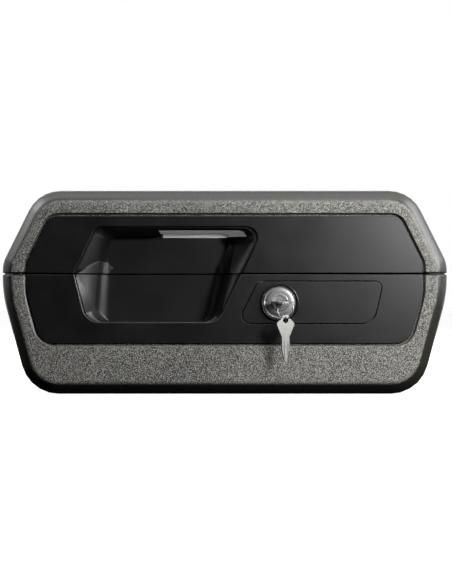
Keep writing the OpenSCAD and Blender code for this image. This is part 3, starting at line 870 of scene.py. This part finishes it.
@dataclass(frozen=True)
class Card:
    """A flat card that keeps stray light off the front, and that no camera sees."""

    name: str
    low: Point
    high: Point
    shade: float = 0.0

    def build(self) -> None:
        """Makes the card."""
        mesh = sheet(self.name, self.low, self.high)
        paint = Paint(self.name)
        paint.surface(Base_Color=BLACK, Specular_IOR_Level=0.0, Roughness=1.0, Emission_Color=WHITE,
                      Emission_Strength=self.shade)
        mesh.materials.append(paint.material)
        card = stood(self.name, mesh)
        card.visible_camera = False
        card.visible_shadow = False
        card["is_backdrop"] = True


@dataclass
class Studio:
    """The camera, the floor, the backdrop, the lamps and the cards."""

    scale: float = 0.816 * MM
    middle_x: float = 1.0 * MM
    middle_z: float = 81.6 * MM
    distance: float = 1.3
    plane_y: float = -133 * MM
    sensor: float = 36.0
    reach: float = 6.0
    fill: float = 0.07
    floor_grey: Point = (0.03, 0.03, 0.03)
    floor_pale: Point = (0.8, 0.8, 0.8)
    floor_glow: float = 0.9
    lamps: tuple[Lamp, ...] = (
        Lamp("key", (0.27, -0.50, 0.20), (0.03, -0.14, 0.09), (0.09, 0.09), 1.45),
        Lamp("over", (0.06, -0.30, 0.48), (0.02, -0.14, 0.14), (0.35, 0.10), 0.6),
        Lamp("right", (1.0, -0.20, 0.72), (0.12, -0.13, 0.1), (0.5, 0.7), 10),
        Lamp("side", (1.20, -0.50, 0.34), (0.0, -0.13, 0.1), (0.4, 0.4), 9),
        Lamp("left", (-0.95, -0.10, 0.80), (-0.12, -0.10, 0.1), (0.4, 0.5), 5),
        Lamp("top", (0.0, -0.12, 1.25), (0.0, -0.05, 0.12), (1.9, 0.4), 4.5),
        Lamp("rear", (-0.3, 1.5, 0.9), (0.0, 0.1, 0.1), (0.9, 0.6), 12),
    )
    cards: tuple[Card, ...] = (
        Card("wall_card", (-3, -2.6, 0), (3, -2.6, 2.6), 0.02),
        Card("front_card", (-1.6, -2.6, CARD_RISE), (1.6, -0.125, CARD_RISE)),
        Card("left_card", (-1.6, -0.125, CARD_RISE), (-0.15, 0.1, CARD_RISE)),
        Card("right_card", (0.15, -0.125, CARD_RISE), (1.6, 0.1, CARD_RISE)),
        Card("left_flag", (-1.6, -2.6, 0), (-1.6, -0.05, 0.8)),
    )

    def build(self) -> None:
        """Makes everything."""
        self.camera()
        self.world()
        self.floor()
        for item in (*self.lamps, *self.cards):
            item.build()

    def camera(self) -> None:
        """Stands the camera straight in front, at the height of the picture's middle."""
        data = bpy.data.cameras.new("camera")
        data.sensor_width = self.sensor
        data.lens = self.sensor * self.distance / (PICTURE_HEIGHT * self.scale)
        camera = stood("camera", data)
        camera.location = (self.middle_x, self.plane_y - self.distance, self.middle_z)
        camera.rotation_euler = (math.pi / 2, 0, 0)
        bpy.context.scene.camera = camera

    @staticmethod
    def choose(tree: Tree, off: bpy.types.Node, on: bpy.types.Node, end: bpy.types.Node) -> None:
        """Sends one shader to most rays, and another to the camera's and those off metal and glass.

        Args:
            tree: the node tree.
            off: the shader for most rays.
            on: the shader for the rays that see the background.
            end: the tree's output.
        """
        path = tree.node("ShaderNodeLightPath")
        camera, glossy, through = (Value(tree, path.outputs[f"Is {kind} Ray"])
                                   for kind in ("Camera", "Glossy", "Transmission"))
        mix = tree.node("ShaderNodeMixShader", None, _0=(camera + glossy + through).least(1.0),
                        _1=off.outputs[0], _2=on.outputs[0])
        tree.feed(end, Surface=mix.outputs[0])

    def world(self) -> None:
        """A white backdrop for the camera, metal and glass, and a weak grey light."""
        world = bpy.data.worlds.new("studio")
        bpy.context.scene.world = world
        world.use_nodes = True
        tree = Tree(world.node_tree)
        dim = world.node_tree.nodes["Background"]
        tree.feed(dim, Color=WHITE, Strength=self.fill)
        white = tree.node("ShaderNodeBackground", None, Color=WHITE, Strength=1.0)
        self.choose(tree, dim, white, world.node_tree.nodes["World Output"])

    def floor(self) -> None:
        """A plain pale floor that keeps the shadow, and gives little light back."""
        paint = Paint("floor")
        paint.surface(Base_Color=(*self.floor_grey, 1), Roughness=0.9, Specular_IOR_Level=0.0)
        lit = paint.node("ShaderNodeBsdfDiffuse", Color=(*self.floor_pale, 1))
        glow = paint.node("ShaderNodeEmission", Strength=self.floor_glow)
        pale = paint.node("ShaderNodeAddShader", None, _0=lit.outputs[0], _1=glow.outputs[0])
        self.choose(paint, paint.shader, pale, paint.tree.nodes["Material Output"])
        mesh = sheet("floor", (-self.reach, -self.reach, 0), (self.reach, self.reach, 0))
        mesh.materials.append(paint.material)
        stood("floor", mesh)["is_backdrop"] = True


# ---------- the chest's own pieces ----------


@dataclass(frozen=True)
class ScrewSet:
    """Cross-head screws of one kind in one piece, made by Geometry Nodes on their seats."""

    node: str
    seats: tuple[Point, ...]
    tilt: Point
    shank_length: float
    seed: int
    head_height: float = 1.0 * MM
    head_radius: float = 3.0 * MM
    shank_radius: float = 1.6 * MM
    blade: Point = (0.26, 1.1, 1.3)  # width and length by the head's radius, depth by its height
    blade_lift: float = 1.1  # by the head's height, as the overlap is
    overlap: float = 0.2
    head_faces: tuple[int, int] = (28, 14)
    shank_faces: int = 20
    smooth: float = 30

    def tree(self, finish: bpy.types.Material) -> tuple[bpy.types.NodeTree, dict[str, str]]:
        """Builds the node tree: a domed head with a cross recess, and a shank, turned at random.

        Args:
            finish: the screws' material.

        Returns:
            The tree, and the identifier of each named input.
        """
        made = bpy.data.node_groups.new(self.node + "_tree", "GeometryNodeTree")
        face = made.interface
        face.new_socket("Points", in_out="INPUT", socket_type="NodeSocketGeometry")
        names = {}
        for name in ("Head Radius", "Head Height", "Shank Radius", "Shank Length"):
            size = face.new_socket(name, in_out="INPUT", socket_type="NodeSocketFloat")
            names[name] = size.identifier
        face.new_socket("Screws", in_out="OUTPUT", socket_type="NodeSocketGeometry")
        tree = Tree(made)
        start = tree.node("NodeGroupInput")
        head_r, head_h, shank_r, shank_l = (Value(tree, start.outputs[name]) for name in names)

        def moved(shape: bpy.types.Node, **inputs: Value) -> bpy.types.NodeSocket:
            """Lifts or scales a shape.

            Args:
                shape: the node that makes it.
                inputs: X, Y and Z of its scale, or Z alone for a lift.

            Returns:
                The moved shape.
            """
            key = "Scale" if "X" in inputs else "Translation"
            vector = tree.node("ShaderNodeCombineXYZ", None, **inputs).outputs[0]
            return tree.node("GeometryNodeTransform", None, Geometry=shape.outputs[0],
                             **{key: vector}).outputs[0]

        segments, rings = self.head_faces
        ball = tree.node("GeometryNodeMeshUVSphere", None, Segments=segments, Rings=rings,
                         Radius=1.0)
        dome = moved(ball, X=head_r, Y=head_r, Z=head_h)
        thin, long = (head_r * share for share in self.blade[:2])
        deep = head_h * self.blade[2]
        blades = []
        for wide, high in ((thin, long), (long, thin)):
            size = tree.node("ShaderNodeCombineXYZ", None, X=wide, Y=high, Z=deep)
            bar = tree.node("GeometryNodeMeshCube", None, Size=size.outputs[0])
            blades.append(moved(bar, Z=head_h * self.blade_lift))
        cut = tree.node("GeometryNodeMeshBoolean", {"operation": "DIFFERENCE", "solver": "EXACT"},
                        _0=dome, _1=blades)
        rod = tree.node("GeometryNodeMeshCylinder", None, Vertices=self.shank_faces, Radius=shank_r,
                        Depth=shank_l)
        shank = moved(rod, Z=shank_l * -0.5 - head_h * self.overlap)
        screw = tree.node("GeometryNodeJoinGeometry", None, Geometry=[cut.outputs[0], shank])
        spread = tree.node("GeometryNodeInstanceOnPoints", None, Points=start.outputs[0],
                           Instance=screw.outputs[0], Rotation=self.tilt)
        chance = tree.node("FunctionNodeRandomValue", {"data_type": "FLOAT_VECTOR"},
                           _0=(0.0, 0.0, 0.0), _1=(0.0, 0.0, math.pi), Seed=self.seed)
        turn = tree.node("GeometryNodeRotateInstances", None, Instances=spread.outputs[0],
                         Rotation=chance.outputs[0])
        real = tree.node("GeometryNodeRealizeInstances", None, Geometry=turn.outputs[0])
        dressed = tree.node("GeometryNodeSetMaterial", None, Geometry=real.outputs[0],
                            Material=finish)
        tree.node("NodeGroupOutput", None, _0=dressed.outputs[0])
        return made, names

    def build(self, frame: Frame) -> None:
        """Makes the screws and stands them in their node's place.

        Args:
            frame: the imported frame.
        """
        seats = [tuple(value * MM for value in seat) for seat in self.seats]
        draft = stood(self.node + "_draft", meshed(self.node + "_seats", seats))
        tree, names = self.tree(frame.finishes[frame.slots[self.node]])
        maker = draft.modifiers.new("screws", "NODES")
        maker.node_group = tree
        sizes = (self.head_radius, self.head_height, self.shank_radius, self.shank_length)
        for identifier, size in zip(names.values(), sizes):
            maker[identifier] = size
        frame.settle(draft, self.node, self.smooth)


@dataclass
class Case:
    """The two halves: moulded shells, inner tubs, cast filling, rim seal, and plugs underneath."""

    tub_round: float = 0.7 * MM
    tub_angle: float = 50
    seal_round: float = 0.9 * MM
    plug_round: float = 0.4 * MM
    half_depth: float = 140
    lip_width: float = 0.8
    lip_rises: Pair = (97.4, 98.35)
    lip_path: tuple[Pair, ...] = ((166, -140.2), (172, -140.2), (179.7, -132.4),
                                  (179.7, 132.4), (172, 140.2), (166, 140.2))

    def build(self, frame: Frame) -> None:
        """Makes the pieces of both halves.

        Args:
            frame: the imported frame.
        """
        for node in ("base_shell", "lid_shell", "base_insulation", "lid_insulation"):
            frame.rounded(node)
        for node in ("base_liner", "lid_liner"):
            frame.rounded(node, self.tub_round, self.tub_angle)
        frame.rounded("rim_seal", self.seal_round, self.tub_angle, 3)
        frame.rounded("fill_plugs", self.plug_round)
        self.lips(frame)

    def lips(self, frame: Frame) -> None:
        """Makes low lips on the base's rim that close the seam at the sides.

        Args:
            frame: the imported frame.
        """
        shrink = 1 - self.lip_width / self.half_depth  # brings the inner edge in at both ends
        points, faces = [], []
        for side in (-1, 1):
            first = len(points)
            for x, y in self.lip_path:
                for across, along in ((x, y), (x - self.lip_width, y * shrink)):
                    points += [(side * across * MM, along * MM, z * MM) for z in self.lip_rises]
            last = len(points) - 4
            for a in range(first, last, 4):
                b = a + 4
                faces += [(a, b, b + 1, a + 1), (a + 1, b + 1, b + 3, a + 3),
                          (a + 3, b + 3, b + 2, a + 2), (a + 2, b + 2, b, a)]
            faces += [(first, first + 1, first + 3, first + 2),
                      (last, last + 2, last + 3, last + 1)]
        mesh = meshed("rim_lips", points, faces)
        work = bmesh.new()
        work.from_mesh(mesh)
        bmesh.ops.recalc_face_normals(work, faces=work.faces)
        work.to_mesh(mesh)
        work.free()
        frame.ready("rim_lips", mesh, "black_trim", "base")


@dataclass
class FrontPanel:
    """The smooth black panel in two halves, and the raised cover round the lock."""

    plate_round: float = 0.15 * MM

    def build(self, frame: Frame) -> None:
        """Makes the panel's pieces.

        Args:
            frame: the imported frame.
        """
        for node in ("base_fascia", "lid_fascia"):
            frame.rounded(node)
        frame.rounded("lock_plate", self.plate_round)


@dataclass
class Lock:
    """The cam lock: black ring, plated housing, plug, wafers, cam and nut, and the lid's strike."""

    ring_round: float = 0.3 * MM
    face_round: float = 0.22 * MM
    wafer_round: float = 0.08 * MM
    steel_round: float = 0.35 * MM
    crease: float = 30
    middle: Pair = (44.6 * MM, 74.8 * MM)
    slope: Pair = (12.55 * MM, -141.7 * MM)
    flat: Pair = (12.95 * MM, -142.18 * MM)
    near: float = 0.1 * MM
    strike_seats: tuple[Point, ...] = ((29.1, -128.4, 98.55), (29.1, -103.4, 98.55))
    strike_shank: float = 8.2 * MM
    strike_head: float = 0.9 * MM
    strike_seed: int = 7

    def crisp_rim(self, work: bmesh.types.BMesh) -> None:
        """Draws the rim of the housing's face out to a flat with a narrow edge.

        Args:
            work: the housing's mesh.
        """
        (x, z), (slope_r, slope_y), (flat_r, flat_y) = self.middle, self.slope, self.flat
        for corner in work.verts:
            across, up = corner.co.x - x, corner.co.z - z
            radius = math.hypot(across, up)
            if abs(radius - slope_r) < self.near and abs(corner.co.y - slope_y) < self.near:
                grow = flat_r / radius
                corner.co = (x + across * grow, flat_y, z + up * grow)

    def build(self, frame: Frame) -> None:
        """Makes the lock's pieces.

        Args:
            frame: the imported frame.
        """
        frame.rounded("lock_bezel", self.ring_round, self.crease)
        frame.rounded("lock_housing", self.face_round, self.crease, shape=self.crisp_rim)
        frame.rounded("lock_plug", self.face_round, self.crease)
        frame.rounded("wafer_tumblers", self.wafer_round)
        for node in ("lock_washer", "lock_nut", "lock_cam"):
            frame.rounded(node, self.steel_round)
        frame.rounded("cam_screw", self.wafer_round)
        frame.rounded("strike", self.steel_round)
        ScrewSet("strike_screws", self.strike_seats, (math.pi, 0, 0), self.strike_shank,
                 self.strike_seed, self.strike_head).build(frame)


@dataclass
class Hinges:
    """Two painted butt hinges with loose pins and cross-head screws."""

    leaf_round: float = 0.3 * MM
    pin_round: float = 0.35 * MM
    across: tuple[float, ...] = (-123, -97, 97, 123)
    rises: Pair = (8.55, 19.55)
    seam: float = 98.0
    face: float = 143.6
    screw_shank: float = 7.4 * MM
    seeds: tuple[int, int] = (4, 6)

    def build(self, frame: Frame) -> None:
        """Makes the leaves, the pins and the screws.

        Args:
            frame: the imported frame.
        """
        for side in ("left", "right"):
            for part in ("hinge_leaf_base_", "hinge_leaf_lid_"):
                frame.rounded(part + side, self.leaf_round)
            frame.rounded("hinge_pin_" + side, self.pin_round)
        for half, way, seed in zip(("base", "lid"), (-1, 1), self.seeds):
            seats = tuple((x, self.face, self.seam + way * rise)
                          for x in self.across for rise in self.rises)
            ScrewSet("hinge_screws_" + half, seats, (-math.pi / 2, 0, 0), self.screw_shank,
                     seed).build(frame)


@dataclass
class Keys:
    """The key in the lock, the wire ring through its bow, and the spare key on the ring."""

    edge_round: float = 0.16 * MM

    def build(self, frame: Frame) -> None:
        """Makes the keys and the ring.

        Args:
            frame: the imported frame.
        """
        for node in ("inserted_key", "spare_key"):
            frame.rounded(node, self.edge_round)
        frame.rounded("key_ring")


def main() -> None:
    """Builds the scene."""
    logging.basicConfig(level=logging.INFO, format="%(name)s: %(message)s")
    bpy.ops.object.select_all(action="SELECT")
    bpy.ops.object.delete()
    bpy.context.scene.view_settings.view_transform = "Standard"
    frame = Frame()
    Studio().build()
    for part in (Case(), FrontPanel(), Lock(), Hinges(), Keys()):
        log.info("building %s", type(part).__name__)
        part.build(frame)


if __name__ == "__main__":
    main()
